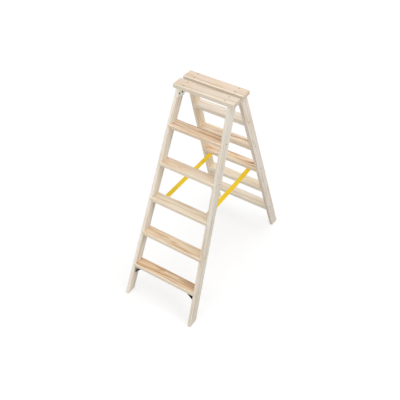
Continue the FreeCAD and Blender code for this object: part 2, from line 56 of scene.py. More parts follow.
LEAN = math.radians(20.7)
TAN, COS = math.tan(LEAN), math.cos(LEAN)
STILE_T, STILE_D = 22.0, 68.0
BOARD_T = 25.0
TREAD_T = 25.0


def y_in(z):
    return 7.0 + (H - z) * TAN


def y_out(z):
    return y_in(z) + STILE_D / COS


def half_w(z):
    return (365.0 + (526.0 - 365.0) * (H - z) / H) / 2.0


def tread_top(i):
    return H * i / 6.0


SEC = {"front": -1.0, "back": 1.0}
SIDE = {"left": -1.0, "right": 1.0}


# ------------------------------------------------------------------ node helpers
class Graph:
    """Small helper round a material's node tree."""

    def __init__(self, name):
        self.mat = bpy.data.materials.new(name)
        self.mat.use_nodes = True
        self.t = self.mat.node_tree
        self.t.nodes.clear()
        self.out = self.t.nodes.new("ShaderNodeOutputMaterial")
        self.bsdf = self.t.nodes.new("ShaderNodeBsdfPrincipled")
        self.t.links.new(self.bsdf.outputs[0], self.out.inputs[0])

    def node(self, kind, **props):
        n = self.t.nodes.new(kind)
        for k, v in props.items():
            setattr(n, k, v)
        return n

    def put(self, socket, value):
        if isinstance(value, bpy.types.NodeSocket):
            self.t.links.new(value, socket)
        elif value is not None:
            socket.default_value = value

    def math(self, op, a, b=None, c=None, clamp=False):
        n = self.node("ShaderNodeMath", operation=op, use_clamp=clamp)
        self.put(n.inputs[0], a)
        self.put(n.inputs[1], b)
        self.put(n.inputs[2], c)
        return n.outputs[0]

    def vec(self, op, a, b=None, c=None):
        n = self.node("ShaderNodeVectorMath", operation=op)
        self.put(n.inputs[0], a)
        if op == "SCALE":
            self.put(n.inputs[3], b)
        else:
            self.put(n.inputs[1], b)
            self.put(n.inputs[2], c)
        return n.outputs[1] if op in ("LENGTH", "DOT_PRODUCT", "DISTANCE") else n.outputs[0]

    def split(self, v):
        n = self.node("ShaderNodeSeparateXYZ")
        self.put(n.inputs[0], v)
        return n.outputs[0], n.outputs[1], n.outputs[2]

    def join(self, x, y, z):
        n = self.node("ShaderNodeCombineXYZ")
        self.put(n.inputs[0], x)
        self.put(n.inputs[1], y)
        self.put(n.inputs[2], z)
        return n.outputs[0]

    def noise(self, v, scale=1.0, detail=2.0, rough=0.5, colour=False):
        n = self.node("ShaderNodeTexNoise")
        self.put(n.inputs["Vector"], v)
        n.inputs["Scale"].default_value = scale
        n.inputs["Detail"].default_value = detail
        n.inputs["Roughness"].default_value = rough
        return n.outputs["Color"] if colour else n.outputs["Fac"]

    def ramp(self, fac, stops, interp="LINEAR"):
        n = self.node("ShaderNodeValToRGB")
        n.color_ramp.interpolation = interp
        el = n.color_ramp.elements
        while len(el) < len(stops):
            el.new(0.5)
        for e, (pos, col) in zip(el, stops):
            e.position = pos
            e.color = (*col, 1.0) if len(col) == 3 else col
        self.put(n.inputs[0], fac)
        return n.outputs[0]

    def span(self, v, lo, hi, a=0.0, b=1.0, smooth=False):
        n = self.node("ShaderNodeMapRange", interpolation_type="SMOOTHSTEP" if smooth else "LINEAR")
        self.put(n.inputs[0], v)
        for i, x in enumerate((lo, hi, a, b), start=1):
            self.put(n.inputs[i], x)
        return n.outputs[0]

    def mix(self, fac, a, b, mode="MIX"):
        n = self.node("ShaderNodeMix", data_type="RGBA", blend_type=mode)
        self.put(n.inputs[0], fac)
        self.put(n.inputs[6], (*a, 1.0) if isinstance(a, tuple) and len(a) == 3 else a)
        self.put(n.inputs[7], (*b, 1.0) if isinstance(b, tuple) and len(b) == 3 else b)
        return n.outputs[2]

    def bump(self, height, distance, strength=1.0, normal=None):
        n = self.node("ShaderNodeBump")
        n.inputs["Strength"].default_value = strength
        n.inputs["Distance"].default_value = distance
        self.put(n.inputs["Height"], height)
        if normal is not None:
            self.put(n.inputs["Normal"], normal)
        return n.outputs[0]

    def object_coords(self):
        return self.node("ShaderNodeTexCoord").outputs["Object"]

    def uv(self):
        return self.node("ShaderNodeTexCoord").outputs["UV"]


def srgb(r, g, b):
    def f(x):
        x /= 255.0
        return x / 12.92 if x <= 0.04045 else ((x + 0.055) / 1.055) ** 2.4
    return (f(r), f(g), f(b))


# ---------------------------------------------------------------------- materials
SAPWOOD = srgb(236, 225, 206)


def pine(name, origin, along, across, early, late, contrast, streak, pith, spacing,
         slope, seed, glow=0.30, sap=0.0):
    """Planed pine as a solid texture: growth rings about a pith line that runs
    along the piece, fibres and resin canals. All lengths in metres."""
    g = Graph(name)
    rnd = random.Random(seed)
    a = Vector(along).normalized()
    c = a.cross(Vector(across)).normalized()
    b = c.cross(a).normalized()
    rot = Matrix((a, b, c))
    m = g.node("ShaderNodeMapping", vector_type="POINT")
    m.inputs["Rotation"].default_value = rot.to_euler()
    shift = -(rot @ Vector(origin))
    m.inputs["Location"].default_value = shift
    g.put(m.inputs["Vector"], g.object_coords())
    q = m.outputs[0]
    qa, qb, qc = g.split(q)
    off = Vector([rnd.uniform(-9, 9) for _ in range(3)])

    # slow wander of the grain, then a small wiggle along the fibre
    w = g.noise(g.vec("MULTIPLY_ADD", q, Vector((2.6, 9.0, 9.0)), off), 1.0, 1.0, 0.5, colour=True)
    wander = g.vec("MULTIPLY", g.vec("SUBTRACT", w, Vector((0.5, 0.5, 0.5))), Vector((0.0, 0.034, 0.030)))
    w2 = g.noise(g.vec("MULTIPLY_ADD", q, Vector((14.0, 90.0, 90.0)), off * 1.7), 1.0, 2.0, 0.5)
    radial = g.vec("LENGTH", g.vec("MULTIPLY_ADD", g.vec("ADD", q, wander), Vector((0.0, 1.0, 1.0)),
                                   Vector((0.0, -pith[0], -pith[1]))))
    r = g.math("MULTIPLY_ADD", qa, slope, radial)
    r = g.math("MULTIPLY_ADD", g.math("SUBTRACT", w2, 0.5), 0.0015, r)
    # ring width varies from year to year
    years = g.noise(g.join(g.math("MULTIPLY", r, 95.0), rnd.uniform(0, 9), 0.3), 1.0, 1.0, 0.5)
    phase = g.math("MULTIPLY_ADD", years, 1.6, g.math("DIVIDE", r, spacing))
    ring = g.math("FRACT", phase)
    latewood = g.ramp(ring, [(0.0, (0, 0, 0)), (0.38, (0.10, 0.10, 0.10)), (0.66, (0.42, 0.42, 0.42)),
                             (0.87, (1, 1, 1)), (0.965, (0.85, 0.85, 0.85)), (1.0, (0.0, 0.0, 0.0))])
    # a strong year now and then
    vigour = g.span(g.noise(g.join(g.math("MULTIPLY", g.math("FLOOR", phase), 0.73), rnd.uniform(0, 9), 1.7), 1.0, 0.0),
                    0.3, 0.7, 0.35, 1.0)
    latewood = g.math("MULTIPLY", latewood, vigour)

    # broad streaks, fine fibres, resin canals
    broad = g.noise(g.vec("MULTIPLY_ADD", q, Vector((2.4, 52.0, 52.0)), off * 0.6), 1.0, 3.0, 0.55)
    lines = g.noise(g.vec("MULTIPLY_ADD", q, Vector((5.5, 125.0, 125.0)), off * 1.3), 1.0, 2.0, 0.5)
    patch = g.noise(g.vec("MULTIPLY_ADD", q, Vector((5.0, 9.0, 9.0)), off * 0.4), 1.0, 2.0, 0.5)
    fibre = g.noise(g.vec("MULTIPLY_ADD", q, Vector((34.0, 1150.0, 1150.0)), off), 1.0, 3.0, 0.62)
    canal = g.span(g.noise(g.vec("MULTIPLY_ADD", q, Vector((60.0, 1700.0, 1700.0)), off * 3.0), 1.0, 1.0),
                   0.68, 0.76, 0.0, 1.0)

    tone = g.math("ADD", g.math("MULTIPLY", latewood, contrast),
                  g.span(broad, 0.30, 0.70, -streak, streak))
    tone = g.math("ADD", tone, g.span(lines, 0.42, 0.72, -0.25 * streak, 0.95 * streak), clamp=True)
    col = g.mix(tone, early, late)
    warm = tuple(x * y for x, y in zip(early, (0.94, 0.80, 0.60)))
    col = g.mix(g.span(patch, 0.42, 0.80, 0.0, glow), col, warm)
    if sap:
        # pale sapwood along the piece's outer edge
        edge = g.span(g.math("MULTIPLY_ADD", g.math("SUBTRACT", broad, 0.5), 0.020, qb), -0.0375, -0.0290, 1.0, 0.0, smooth=True)
        col = g.mix(g.math("MULTIPLY", edge, sap), col, SAPWOOD)
    shade = g.span(fibre, 0.25, 0.75, 0.91, 1.07)
    col = g.mix(1.0, col, g.join(shade, shade, shade), "MULTIPLY")
    col = g.mix(g.math("MULTIPLY", canal, 0.16), col, tuple(x * 0.45 for x in late))
    g.put(g.bsdf.inputs["Base Color"], col)
    g.put(g.bsdf.inputs["Roughness"], g.math("MULTIPLY_ADD", latewood, -0.10, g.span(fibre, 0.2, 0.8, 0.56, 0.70)))
    g.bsdf.inputs["Specular IOR Level"].default_value = 0.30
    height = g.math("ADD", g.math("MULTIPLY", fibre, 0.55), g.math("MULTIPLY", latewood, 0.30))
    height = g.math("MULTIPLY_ADD", canal, -0.30, height)
    # faint planer ripple across the grain
    ripple = g.math("SINE", g.math("MULTIPLY", qa, 2.0 * math.pi / 0.0031))
    height = g.math("MULTIPLY_ADD", ripple, 0.035, height)
    g.put(g.bsdf.inputs["Normal"], g.bump(height, 0.00015, 0.9))
    return g.mat


def zinc(name, base, rough, seed, blotch=0.5, metallic=0.8):
    """Zinc-plated sheet: soft blotches of plating, fine scratches, dull wear."""
    g = Graph(name)
    p = g.vec("ADD", g.object_coords(), Vector((seed, seed * 0.37, 0.0)))
    cloud = g.noise(p, 34.0, 3.0, 0.55)
    spangle = g.noise(p, 260.0, 2.0, 0.6)
    scratch = g.noise(g.vec("MULTIPLY", p, Vector((300.0, 2600.0, 420.0))), 1.0, 2.0, 0.6)
    dark = tuple(x * (1.0 - 0.42 * blotch) for x in base)
    col = g.mix(g.span(cloud, 0.32, 0.70, 0.0, 1.0), base, dark)
    col = g.mix(g.span(spangle, 0.35, 0.75, 0.0, 0.30), col, tuple(min(1.0, x * 1.18) for x in base))
    g.put(g.bsdf.inputs["Base Color"], col)
    g.bsdf.inputs["Metallic"].default_value = metallic
    g.put(g.bsdf.inputs["Roughness"], g.math("ADD", g.span(cloud, 0.3, 0.7, rough - 0.07, rough + 0.10),
                                             g.span(scratch, 0.3, 0.8, -0.05, 0.07)))
    h = g.math("MULTIPLY_ADD", scratch, 0.35, g.math("MULTIPLY", spangle, 0.5))
    g.put(g.bsdf.inputs["Normal"], g.bump(h, 0.00006, 0.8))
    return g.mat


def shade_darkened_steel(name):
    """Pressed steel with a satin finish, worn lighter in places; its dark greys are painted shade, standing in for the
    shade the brace lies in under the lowest tread.
    """
    g = Graph(name)
    p = g.object_coords()
    cloud = g.noise(p, 55.0, 3.0, 0.6)
    grit = g.noise(p, 900.0, 2.0, 0.6)
    # painted shade: these dark greys stand in for the shade under the lowest tread
    col = g.ramp(cloud, [(0.30, srgb(46, 50, 50)), (0.60, srgb(70, 74, 72)), (0.80, srgb(98, 100, 96))])
    g.put(g.bsdf.inputs["Base Color"], col)
    g.bsdf.inputs["Metallic"].default_value = 0.55
    g.put(g.bsdf.inputs["Roughness"], g.span(grit, 0.2, 0.8, 0.40, 0.60))
    g.put(g.bsdf.inputs["Normal"], g.bump(grit, 0.00008, 0.8))
    return g.mat


def webbing(name):
    """Woven polyester webbing. UV is in metres: U along the strap, V across it."""
    g = Graph(name)
    u, v, _ = g.split(g.uv())
    cv = g.math("DIVIDE", v, 0.00118)
    row = g.math("FLOOR", cv)
    cu = g.math("MULTIPLY_ADD", g.math("MODULO", g.math("ABSOLUTE", row), 2.0), 0.5, g.math("DIVIDE", u, 0.0024))
    along = g.math("ABSOLUTE", g.math("SINE", g.math("MULTIPLY", cu, math.pi)))
    across = g.math("ABSOLUTE", g.math("SINE", g.math("MULTIPLY", cv, math.pi)))
    thread = g.math("MULTIPLY", g.math("POWER", along, 0.55), g.math("POWER", across, 0.6))
    fuzz = g.noise(g.vec("MULTIPLY", g.uv(), Vector((900.0, 5200.0, 1.0))), 1.0, 2.0, 0.6)
    cloud = g.noise(g.vec("MULTIPLY", g.uv(), Vector((26.0, 60.0, 1.0))), 1.0, 3.0, 0.6)
    # painted shade and highlight: the weave is darker and more orange in the hollows between the threads and paler on
    # their crests
    weave_gap_shade, weave_crest_highlight = srgb(234, 184, 8), srgb(255, 223, 26)
    col = g.mix(g.span(thread, 0.1, 0.75, 0.0, 1.0), weave_gap_shade, weave_crest_highlight)
    col = g.mix(g.span(cloud, 0.35, 0.75, 0.0, 0.30), col, srgb(244, 190, 22))
    shade = g.span(fuzz, 0.2, 0.8, 0.92, 1.06)
    col = g.mix(1.0, col, g.join(shade, shade, shade), "MULTIPLY")
    g.put(g.bsdf.inputs["Base Color"], col)
    g.put(g.bsdf.inputs["Roughness"], g.span(fuzz, 0.2, 0.8, 0.62, 0.80))
    g.bsdf.inputs["Specular IOR Level"].default_value = 0.30
    g.bsdf.inputs["Sheen Weight"].default_value = 0.06
    g.bsdf.inputs["Sheen Roughness"].default_value = 0.45
    g.put(g.bsdf.inputs["Normal"], g.bump(g.math("MULTIPLY_ADD", fuzz, 0.18, thread), 0.00030, 0.85))
    return g.mat


# ------------------------------------------------------------------- wood pieces
def smooth(obj, angle=35.0):
    me = obj.data
    for p in me.polygons:
        p.use_smooth = True
    me.set_sharp_from_angle(angle=math.radians(angle))


def paint(obj, mat):
    obj.data.materials.clear()
    obj.data.materials.append(mat)


def eased(obj, width, segments=2, angle=40.0):
    """Breaks the sharp edges of a sheet-metal piece."""
    mod = obj.modifiers.new("eased_edges", "BEVEL")
    mod.width = width * MM
    mod.segments = segments
    mod.limit_method = "ANGLE"
    mod.angle_limit = math.radians(angle)
    mod.use_clamp_overlap = True
    mod.harden_normals = False


# piece: early wood, late wood, ring contrast, streak, pith (across, through), ring
# width, slope of the grain, seed, warm patches, pale outer edge
WOOD = {
    "front_stile_left": (srgb(242, 233, 221), srgb(216, 198, 171), 0.70, 0.60, (0.02, 0.11), 0.0050, 0.004, 11, 0.20, 0.0),
    "front_stile_right": (srgb(229, 222, 210), srgb(207, 188, 162), 0.70, 0.60, (-0.03, -0.10), 0.0048, -0.003, 12, 0.25, 0.0),
    "back_stile_left": (srgb(245, 230, 207), srgb(215, 184, 145), 0.70, 0.60, (0.05, 0.09), 0.0052, 0.005, 13, 0.40, 0.0),
    "back_stile_right": (srgb(233, 223, 212), srgb(207, 189, 163), 0.70, 0.60, (-0.02, -0.12), 0.0050, -0.004, 14, 0.25, 0.0),
    "front_tread_1": (srgb(234, 209, 178), srgb(179, 128, 81), 1.15, 0.75, (0.010, -0.062), 0.0066, 0.007, 21, 0.55, 0.85),
    "front_tread_2": (srgb(238, 218, 191), srgb(200, 159, 115), 0.95, 0.65, (-0.016, -0.070), 0.0062, -0.006, 22, 0.40, 0.65),
    "front_tread_3": (srgb(234, 220, 199), srgb(207, 180, 144), 0.84, 0.54, (0.024, -0.066), 0.0058, 0.004, 23, 0.35, 0.55),
    "front_tread_4": (srgb(231, 213, 189), srgb(207, 174, 135), 0.84, 0.54, (-0.012, -0.075), 0.0060, -0.003, 24, 0.35, 0.75),
    "front_tread_5": (srgb(235, 213, 188), srgb(180, 133, 89), 1.10, 0.70, (0.018, -0.058), 0.0066, 0.009, 25, 0.50, 0.30),
    "back_tread_1": (srgb(233, 222, 206), srgb(207, 184, 152), 0.84, 0.54, (0.020, -0.065), 0.0060, 0.004, 31, 0.30, 0.8),
    "back_tread_2": (srgb(240, 230, 209), srgb(217, 193, 157), 0.78, 0.48, (-0.024, -0.060), 0.0058, -0.005, 32, 0.30, 0.7),
    "back_tread_3": (srgb(242, 221, 192), srgb(184, 133, 88), 1.15, 0.75, (0.008, -0.056), 0.0068, 0.009, 33, 0.50, 0.6),
    "back_tread_4": (srgb(236, 221, 200), srgb(184, 142, 99), 1.05, 0.65, (-0.014, -0.064), 0.0064, -0.007, 34, 0.45, 0.55),
    "back_tread_5": (srgb(237, 227, 216), srgb(216, 194, 168), 0.73, 0.48, (0.022, -0.066), 0.0058, 0.004, 35, 0.25, 0.5),
    "front_top_board": (srgb(214, 199, 183), srgb(194, 171, 142), 0.67, 0.48, (0.012, -0.070), 0.0058, 0.004, 41, 0.30, 0.6),
    "back_top_board": (srgb(218, 201, 184), srgb(198, 172, 140), 0.67, 0.48, (-0.018, -0.066), 0.0058, -0.005, 42, 0.35, 0.7),
}
for sec, sy in SEC.items():
    for side, sx in SIDE.items():
        name = "%s_stile_%s" % (sec, side)
        early, late, contrast, streak, pith, spacing, slope, seed, glow, sap = WOOD[name]
        foot = Vector((sx * (half_w(0) - 11), sy * (y_in(0) + y_out(0)) / 2, 0)) * MM
        head = Vector((sx * (half_w(1375) - 11), sy * (y_in(1375) + y_out(1375)) / 2, 1375)) * MM
        paint(NODES[name], pine("pine_" + name, (foot + head) / 2, head - foot, (0, 1, 0),
                                early, late, contrast, streak, pith, spacing, slope, seed, glow, sap))
        smooth(NODES[name])
for name, (early, late, contrast, streak, pith, spacing, slope, seed, glow, sap) in WOOD.items():
    if "stile" in name:
        continue
    lo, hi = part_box(name)
    paint(NODES[name], pine("pine_" + name, (lo + hi) / 2, (1, 0, 0), (0, 1, 0),
                            early, late, contrast, streak, pith, spacing, slope, seed, glow, sap))
    smooth(NODES[name])

# ---------------------------------------------------------------- metal and straps
ZINC = zinc("zinc_plate", srgb(240, 242, 230), 0.46, 1.3, 0.18, 0.28)
ZINC_BOLT = zinc("zinc_bolt", srgb(206, 203, 192), 0.40, 4.1, 0.40, 0.60)
ZINC_NUT = zinc("zinc_nut", srgb(126, 128, 124), 0.36, 6.3, 0.45, 0.85)
ZINC_PIN = zinc("zinc_pin", srgb(200, 200, 192), 0.34, 9.2, 0.35, 0.85)
ZINC_SCREW = zinc("zinc_screw", srgb(136, 127, 104), 0.36, 7.7, 0.40, 0.85)
# the braces' steel is coloured dark as painted shade, for the shade under the lowest tread
SHADE_DARK_STEEL = shade_darkened_steel("bracket_steel_painted_shade")
WEB = webbing("yellow_webbing")

for n, o in NODES.items():
    if n in WOOD:
        continue
    if "hinge_plate" in n or "strap_plates" in n:
        paint(o, ZINC)
        smooth(o, 30.0)
        eased(o, 0.55 if "hinge" in n else 0.35)


def new_piece(name, bm, mat, body, nodes, angle=35.0):
    bmesh.ops.recalc_face_normals(bm, faces=bm.faces)
    me = bpy.data.meshes.new(name)
    bm.to_mesh(me)
    bm.free()
    o = bpy.data.objects.new(name, me)
    bpy.context.scene.collection.objects.link(o)
    paint(o, mat)
    smooth(o, angle)
    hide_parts(*nodes)
    if body:
        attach(o, body)
    return o


def axes(origin, out):
    """Frame whose Z looks along out, in metres; origin in mm."""
    z = Vector(out).normalized()
    x = (Vector((0, 0, 1)) if abs(z.z) < 0.9 else Vector((1, 0, 0))).cross(z).normalized()
    y = z.cross(x)
    m = Matrix((x, y, z)).transposed().to_4x4()
    m.translation = Vector(origin) * MM
    return m


def rings(bm, loops, close=True):
    """Skins a list of vertex loops; a loop of one vertex is a pole."""
    for p, q in zip(loops, loops[1:]):
        n = max(len(p), len(q))
        for k in range(n if close else n - 1):
            j = (k + 1) % n
            if len(p) == 1:
                bm.faces.new((p[0], q[k], q[j]))
            elif len(q) == 1:
                bm.faces.new((p[k], q[0], p[j]))
            else:
                bm.faces.new((p[k], q[k], q[j], p[j]))


def lathe(bm, m, profile, segs, shape=None, spin=0.0):
    """Revolves (radius, height) points, in mm, about the frame's Z."""
    loops = []
    for r, h in profile:
        if r <= 0.0:
            loops.append([bm.verts.new(m @ Vector((0, 0, h * MM)))])
            continue
        loop = []
        for k in range(segs):
            a = 2.0 * math.pi * k / segs + spin
            rr = shape(r, a - spin, h) if shape else r
            loop.append(bm.verts.new(m @ Vector((rr * math.cos(a) * MM, rr * math.sin(a) * MM, h * MM))))
        loops.append(loop)
    rings(bm, loops)


def thread(r_crest, r_root, top, bottom, pitch, tip=0.0):
    """Profile of a thread from top down to bottom, with a tapered tip."""
    pts = []
    z = top
    while z > bottom + pitch:
        k = min(1.0, max(0.12, (z - bottom) / tip)) if tip else 1.0
        pts += [(r_root * k, z), (r_root * k, z - pitch * 0.35), (r_crest * k, z - pitch * 0.62), (r_crest * k, z - pitch * 0.72)]
        z -= pitch
    pts.append((r_root * (0.12 if tip else 0.8), bottom))
    pts.append((0.0, bottom - 0.1))
    return pts


def cross_depth(x, y, arm, half):
    def edge(t, lim):
        return min(1.0, max(0.0, (lim + 0.16 - abs(t)) / 0.32))
    return max(edge(x, half) * edge(y, arm), edge(y, half) * edge(x, arm))


def screw(bm, m, head_r, crown, under, shank_r, length, spin, arm=2.0, half=0.42, depth=1.3, flat_rim=0.5):
    """Wood screw with a cross recess. Z = 0 is the rim of the head, crown is the
    height of its middle, under is the profile from the rim down to the shank."""
    segs, steps = 40, 11
    loops = [[bm.verts.new(m @ Vector((0, 0, (crown - depth) * MM)))]]
    for j in range(1, steps + 1):
        r = head_r * j / steps
        loop = []
        for k in range(segs):
            a = 2.0 * math.pi * k / segs
            x, y = r * math.cos(a), r * math.sin(a)
            h = crown * (1.0 - (r / head_r) ** 2.4)
            fade = 1.0 - 0.45 * r / head_r
            h -= depth * fade * cross_depth(x, y, arm, half)
            ca, sa = math.cos(a + spin), math.sin(a + spin)
            loop.append(bm.verts.new(m @ Vector((r * ca * MM, r * sa * MM, h * MM))))
        loops.append(loop)
    lower = [p for p in under] + thread(shank_r, shank_r * 0.72, under[-1][1] - 2.0, -length, 1.7, 4.0)
    for r, h in lower:
        if r <= 0.0:
            loops.append([bm.verts.new(m @ Vector((0, 0, h * MM)))])
        else:
            loops.append([bm.verts.new(m @ Vector((r * math.cos(2 * math.pi * k / segs + spin) * MM,
                                                   r * math.sin(2 * math.pi * k / segs + spin) * MM, h * MM)))
                          for k in range(segs)])
    rings(bm, loops)


CSK = [(4.18, -0.14), (4.05, -0.34), (2.2, -2.15), (2.0, -2.7), (2.0, -6.0)]
PAN = [(3.18, -0.75), (3.0, -0.98), (1.5, -1.02), (1.5, -3.0)]
dice = random.Random(5)

# countersunk screws through the stiles into the tread ends, and through the
# boards into the hinge plates' flanges
for sec, sy in SEC.items():
    bm = bmesh.new()
    for i in range(1, 6):
        z = tread_top(i) - TREAD_T / 2.0
        for sx in (-1, 1):
            at = (sx * (half_w(z) - 0.45), sy * (y_in(z) + y_out(z)) / 2.0, z)
            screw(bm, axes(at, (sx, 0, 0)), 4.2, 0.10, CSK, 2.0, 44.0, dice.uniform(0, 3))
    new_piece(sec + "_tread_screws_detail", bm, ZINC_SCREW, sec + "_section", [sec + "_tread_screws"])
    bm = bmesh.new()
    for sx in (-1, 1):
        for y in (33.0, 78.0):
            screw(bm, axes((sx * 140.0, sy * y, 1399.55), (0, 0, 1)), 4.2, 0.10, CSK, 2.0, 32.0, dice.uniform(0, 3))
    new_piece(sec + "_board_screws_detail", bm, ZINC_SCREW, sec + "_section", [sec + "_board_screws"])


def hexagon(flat_r):
    def shape(r, a, h):
        lim = flat_r / math.cos(((a + math.pi / 6.0) % (math.pi / 3.0)) - math.pi / 6.0)
        return min(r, lim)
    return shape


# hinge bolts with domed heads, washers and hexagon nuts
PLATE_IN = {"front": 162.2, "back": 166.2}
for sec, sy in SEC.items():
    heads, wash, nuts = bmesh.new(), bmesh.new(), bmesh.new()
    for sx in (-1, 1):
        for y, z in ((88.0, 1345.0), (55.0, 1340.0)):
            out = half_w(z) + 0.05
            end = PLATE_IN[sec] - 6.0
            run = out - end
            dome = [(0.0, 2.9), (1.4, 2.84), (2.8, 2.62), (4.1, 2.20), (5.2, 1.62), (5.95, 1.02), (6.38, 0.50),
                    (6.5, 0.22), (6.42, 0.04), (6.1, 0.0), (3.0, 0.0), (3.0, -run + 15.0)]
            end_thread = []
            h = -run + 15.0
            while h > -run + 0.8:
                end_thread += [(2.6, h - 0.15), (2.6, h - 0.30), (2.98, h - 0.55), (2.98, h - 0.68)]
                h -= 0.9
            end_thread += [(2.5, -run + 0.25), (2.1, -run), (0.0, -run)]
            lathe(heads, axes((sx * out, sy * y, z), (sx, 0, 0)), dome + end_thread, 28)
            p = PLATE_IN[sec]
            lathe(wash, axes((sx * p, sy * y, z), (-sx, 0, 0)),
                  [(3.05, 0.0), (6.0, 0.0), (6.2, 0.12), (6.2, 0.9), (5.95, 1.14), (5.6, 1.2), (3.4, 1.2), (3.05, 1.0), (3.05, 0.0)], 36)
            lathe(nuts, axes((sx * (p - 1.25), sy * y, z), (-sx, 0, 0)),
                  [(3.0, 0.25), (3.3, 0.0), (4.95, 0.0), (5.45, 0.28), (5.78, 0.55), (5.78, 3.0), (5.45, 3.3), (4.95, 3.58), (3.3, 3.58), (3.0, 3.35), (3.0, 0.25)],
                  48, hexagon(5.0), dice.uniform(0, 1))
    new_piece(sec + "_hinge_bolts_detail", heads, ZINC_BOLT, sec + "_section", [sec + "_hinge_bolts"])
    new_piece(sec + "_hinge_washers_detail", wash, ZINC_NUT, sec + "_section", [sec + "_hinge_washers"])
    new_piece(sec + "_hinge_nuts_detail", nuts, ZINC_NUT, sec + "_section", [sec + "_hinge_nuts"], 25.0)

# pivot rivets with spun heads, and the shims between the plates
bm_shim = bmesh.new()
for side, sx in SIDE.items():
    bm = bmesh.new()
    m = axes((sx * 162.15, 0, 1352.0), (-sx, 0, 0))
    lathe(bm, m, [(0.0, 2.0), (0.9, 2.05), (1.5, 2.3), (2.4, 2.4), (3.8, 2.25), (5.2, 1.75), (6.3, 1.0), (6.9, 0.4), (7.0, 0.1),
                  (6.9, 0.0), (3.98, 0.0), (3.98, -7.1), (6.9, -7.1), (7.0, -7.2), (6.9, -7.5), (6.3, -8.1), (5.2, -8.85),
                  (3.8, -9.35), (2.4, -9.5), (0.0, -9.52)], 40)
    new_piece("hinge_pin_%s_detail" % side, bm, ZINC_PIN, "front_section", ["hinge_pin_" + side])
    lathe(bm_shim, axes((sx * 165.3, 0, 1352.0), (sx, 0, 0)),
          [(4.1, 0.05), (10.8, 0.05), (11.0, 0.2), (11.0, 0.6), (10.8, 0.75), (4.1, 0.75), (4.1, 0.05)], 48)
new_piece("hinge_pivot_washers_detail", bm_shim, ZINC_BOLT, "front_section", ["hinge_pivot_washers"])


# corner braces: bent strips with rounded ends
def rounded_path(pts, radius, n=6):
    out = [Vector(pts[0])]
    for p, q, r in zip(pts, pts[1:], pts[2:]):
        p, q, r = Vector(p), Vector(q), Vector(r)
        u, v = (p - q).normalized(), (r - q).normalized()
        half = math.acos(max(-1.0, min(1.0, u.dot(v)))) / 2.0
        d = radius / math.tan(half)
        a, b = q + u * d, q + v * d
        c = q + (u + v).normalized() * (radius / math.sin(half))
        for k in range(n + 1):
            t = k / n
            w = (a - c).lerp(b - c, t)
            out.append(c + w.normalized() * radius)
    out.append(Vector(pts[-1]))
    return out


def strip(bm, path, wide, thick, corner):
    """Sweeps a flat bar with eased edges along a path; its width lies along Y."""
    # extra stations near both ends, for the rounded corners of the bar
    stations = []
    run = [0.0]
    for p, q in zip(path, path[1:]):
        run.append(run[-1] + (q - p).length)
    total = run[-1]

    def at(s):
        for i in range(len(path) - 1):
            if s <= run[i + 1] + 1e-9:
                t = (s - run[i]) / max(1e-9, run[i + 1] - run[i])
                return path[i].lerp(path[i + 1], t), (path[i + 1] - path[i]).normalized()
        return path[-1], (path[-1] - path[-2]).normalized()

    ends = [corner * (1 - math.cos(math.pi / 2 * k / 6)) for k in range(7)]
    marks = sorted(set([round(e, 4) for e in ends] + [round(total - e, 4) for e in ends] + [round(x, 4) for x in run[1:-1]]))
    loops = []
    for s in marks:
        p, t = at(min(max(s, 0.0), total))
        if 0.0 < s < total:
            a, ta = at(max(0.0, s - 0.4))
            b, tb = at(min(total, s + 0.4))
            t = (ta + tb).normalized()
        n = Vector((-t.z, 0, t.x))
        d = min(s, total - s)
        cut = corner - math.sqrt(max(0.0, corner ** 2 - (corner - d) ** 2)) if d < corner else 0.0
        hw, ht, e = wide / 2.0 - cut, thick / 2.0, 0.45
        prof = [(hw - e, ht), (hw - e * 0.3, ht - e * 0.3), (hw, ht - e), (hw, -ht + e), (hw - e * 0.3, -ht + e * 0.3), (hw - e, -ht),
                (-hw + e, -ht), (-hw + e * 0.3, -ht + e * 0.3), (-hw, -ht + e), (-hw, ht - e), (-hw + e * 0.3, ht - e * 0.3), (-hw + e, ht)]
        loops.append([bm.verts.new((p + Vector((0, a_, 0)) + n * b_) * MM) for a_, b_ in prof])
    rings(bm, loops)
    bm.faces.new(loops[0])
    bm.faces.new(list(reversed(loops[-1])))


ZB = tread_top(1) - TREAD_T
BY = -(y_out(ZB + 12.5) + 2.0 - 13.0)
LEG, FOOT, BT = 46.0, 17.0, 3.0
bm_s = bmesh.new()
for side, sx in SIDE.items():
    face = lambda z: sx * (half_w(z) - STILE_T)
    inn = -sx
    h = BT / 2.0
    mid = [(face(ZB) + inn * (LEG + FOOT), BY, ZB - h), (face(ZB) + inn * (LEG + h * 0.41), BY, ZB - h),
           (face(ZB - LEG) + inn * h, BY, ZB - LEG - h * 0.41), (face(ZB - LEG - FOOT) + inn * h, BY, ZB - LEG - FOOT)]
    bm = bmesh.new()
    strip(bm, rounded_path(mid, 4.0), 20.0, BT, 5.0)
    # the brace takes the steel whose dark colour is painted shade
    new_piece("front_bracket_%s_detail" % side, bm, SHADE_DARK_STEEL, "front_section", ["front_bracket_" + side], 50.0)
    inset = 54.5
    screw(bm_s, axes((sx * (half_w(ZB) - STILE_T - inset), BY, ZB - BT - 1.0), (0, 0, -1)), 3.2, 0.75, PAN, 1.5, 15.0,
          dice.uniform(0, 3), 1.5, 0.34, 1.0)
    z = ZB - inset
    screw(bm_s, axes((sx * (half_w(z) - STILE_T - BT - 1.0), BY, z), (-sx, 0, 0)), 3.2, 0.75, PAN, 1.5, 15.0,
          dice.uniform(0, 3), 1.5, 0.34, 1.0)
new_piece("front_bracket_screws_detail", bm_s, ZINC_SCREW, "front_section", ["front_bracket_screws"])

# ------------------------------------------------------------------- webbing straps
Z3 = tread_top(3)
EDGE = y_in(Z3 - 12.5) - 3.0
STRAP_X = {("left", "front"): -148.0, ("left", "back"): -152.0, ("right", "front"): 162.0, ("right", "back"): 149.0}
ZW, TH, W = Z3 - TREAD_T - 0.8, 1.6, 33.0

